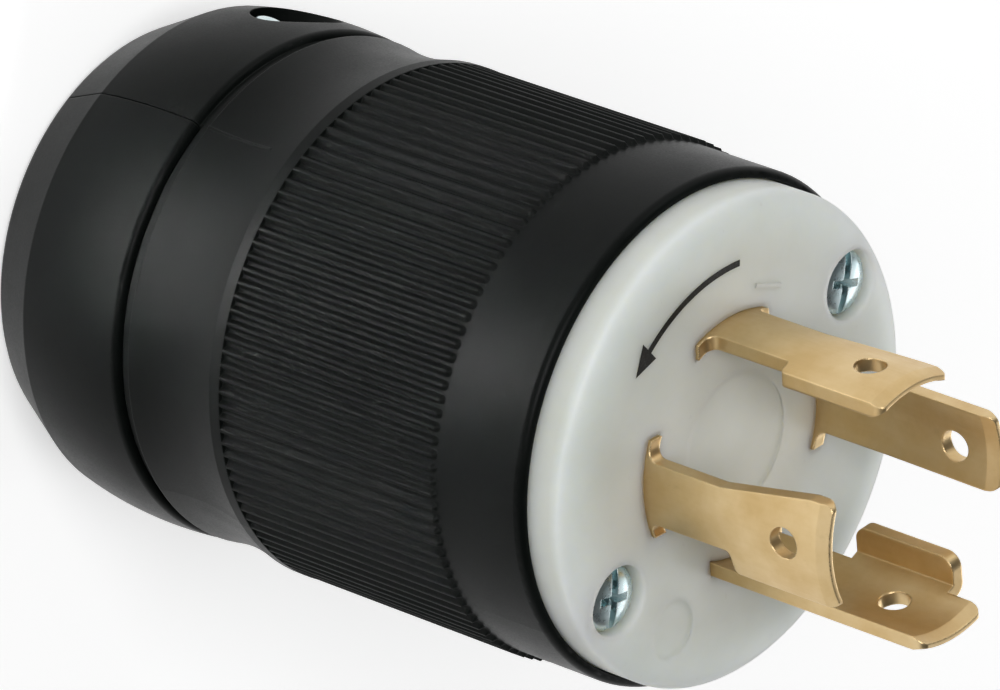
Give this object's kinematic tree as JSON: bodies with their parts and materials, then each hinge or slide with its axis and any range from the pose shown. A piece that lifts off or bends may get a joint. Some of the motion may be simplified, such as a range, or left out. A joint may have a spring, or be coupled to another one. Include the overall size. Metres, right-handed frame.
{
  "type": "locking power plug",
  "caption": "Heavy-duty locking power plug: ribbed black nylon body with a two-piece cord clamp, white nylon face and curved brass blades with a hooked ground blade.",
  "frame": {"origin": "middle of the rear rim, on the plug's axis, where the plug stands on its cord end", "axes": "+Z runs along the plug's axis from the cord end to the blades, -Y goes through the seam between the clamp halves that faces the viewer, +X through the middle of the loose clamp half"},
  "size_m": [0.058, 0.058, 0.1137],
  "materials": {
    "black_nylon": "satin moulded",
    "white_nylon": "satin moulded",
    "grey_nylon": "matt moulded",
    "blade_brass": "bright stamped",
    "screw_brass": "machined",
    "plated_steel": "bright zinc plated",
    "green_steel": "green dyed plating"
  },
  "bodies": {
    "root": {"housing": "black_nylon", "cord_clamp": "black_nylon", "face": "white_nylon", "terminal_block": "grey_nylon", "blade_x": "blade_brass", "blade_y": "blade_brass", "blade_z": "blade_brass", "blade_ground": "blade_brass", "wire_plate_x": "plated_steel", "wire_plate_y": "plated_steel", "wire_plate_z": "plated_steel", "wire_plate_ground": "plated_steel", "terminal_screw_x": "screw_brass", "terminal_screw_y": "screw_brass", "terminal_screw_z": "screw_brass", "terminal_screw_ground": "green_steel", "face_screw_a": "plated_steel", "face_screw_b": "plated_steel", "clamp_screw_a": "plated_steel", "clamp_screw_b": "plated_steel", "clamp_nut_a": "plated_steel", "clamp_nut_b": "plated_steel"}
  },
  "joints": []
}
